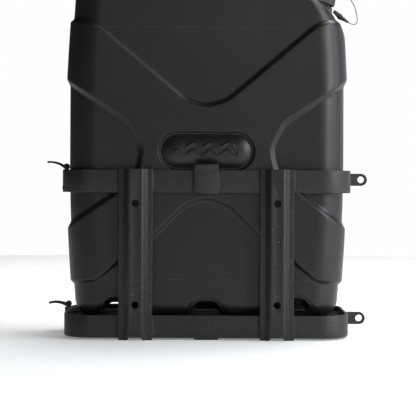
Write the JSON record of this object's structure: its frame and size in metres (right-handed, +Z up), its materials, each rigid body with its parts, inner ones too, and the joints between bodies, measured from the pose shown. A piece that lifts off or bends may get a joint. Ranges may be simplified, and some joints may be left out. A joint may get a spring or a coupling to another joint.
{
  "type": "fresh water tank",
  "caption": "Flat black moulded water can with crossed ribs, grips and a screw cap on a sloped shoulder, held in a steel ring holder with hat uprights, hinged bows, lock ears and cam levers.",
  "frame": {"origin": "on the ground, at the underside of the floor beam, in the middle of the rings across and front to back", "axes": "+Z up, +X to the right seen from the side that bolts to a wall, +Y away from the wall"},
  "size_m": [0.4187, 0.188, 0.494],
  "materials": {
    "powder_coat": "satin black powder coat",
    "fastener": "black oxide",
    "lever_black": "satin black",
    "can_plastic": "satin moulded black",
    "cap_plastic": "matt black",
    "seal": "matt",
    "wire": "twisted wire",
    "crimp": "black crimp"
  },
  "bodies": {
    "holder": {"upper_rear_band": "powder_coat", "upper_fixed_ear": "powder_coat", "upper_frame_hinge": "powder_coat", "upper_hinge_bolt": "fastener", "upper_hinge_nut": "fastener", "upper_lever_pin": "fastener", "lower_rear_band": "powder_coat", "lower_fixed_ear": "powder_coat", "lower_frame_hinge": "powder_coat", "lower_hinge_bolt": "fastener", "lower_hinge_nut": "fastener", "lower_lever_pin": "fastener", "left_channel": "powder_coat", "right_channel": "powder_coat", "floor_plate": "powder_coat", "floor_beam": "powder_coat", "strap_hook": "powder_coat"},
    "upper_bow": {"upper_front_bow": "powder_coat", "upper_bow_ear": "powder_coat", "upper_bow_hinge": "powder_coat"},
    "lower_bow": {"lower_front_bow": "powder_coat", "lower_bow_ear": "powder_coat", "lower_bow_hinge": "powder_coat"},
    "upper_lever": {"upper_cam_lever": "lever_black"},
    "lower_lever": {"lower_cam_lever": "lever_black"},
    "tank": {"tank_body": "can_plastic", "lanyard_anchor": "cap_plastic", "lanyard_ferrule": "crimp", "lanyard_cable": "wire"},
    "collar": {"cap_collar": "cap_plastic", "lanyard_end_ferrule": "crimp"},
    "cap": {"filler_cap": "cap_plastic", "cap_gasket": "seal"}
  },
  "joints": [
    {"name": "upper_bow_swing", "type": "hinge", "parent": "holder", "child": "upper_bow", "pos_m": [-0.1836, 0.032, 0.2], "axis": [0, 0, 1], "range_deg": [0, 110]},
    {"name": "lower_bow_swing", "type": "hinge", "parent": "holder", "child": "lower_bow", "pos_m": [-0.1804, 0.032, 0.02], "axis": [0, 0, 1], "range_deg": [0, 110]},
    {"name": "upper_lever_turn", "type": "hinge", "parent": "holder", "child": "upper_lever", "pos_m": [-0.1836, 0.032, 0.2146], "axis": [0, 1, 0], "range_deg": [0, 85]},
    {"name": "lower_lever_turn", "type": "hinge", "parent": "holder", "child": "lower_lever", "pos_m": [-0.1804, 0.032, 0.0347], "axis": [0, 1, 0], "range_deg": [0, 85]},
    {"name": "tank_lift", "type": "slide", "parent": "holder", "child": "tank", "axis": [0, 0, 1], "range_m": [0, 0.2]},
    {"name": "cap_rise", "type": "slide", "parent": "tank", "child": "collar", "axis": [0.1736, 0, 0.9848], "range_m": [0, 0.0301]},
    {"name": "cap_turn", "type": "hinge", "parent": "collar", "child": "cap", "pos_m": [0.1291, 0, 0.4256], "axis": [0.1736, 0, 0.9848], "range_deg": [0, 1800]}
  ],
  "couplings": [
    {"joint": "cap_rise", "follows": "cap_turn", "m_per_rad": 0.00095493}
  ]
}
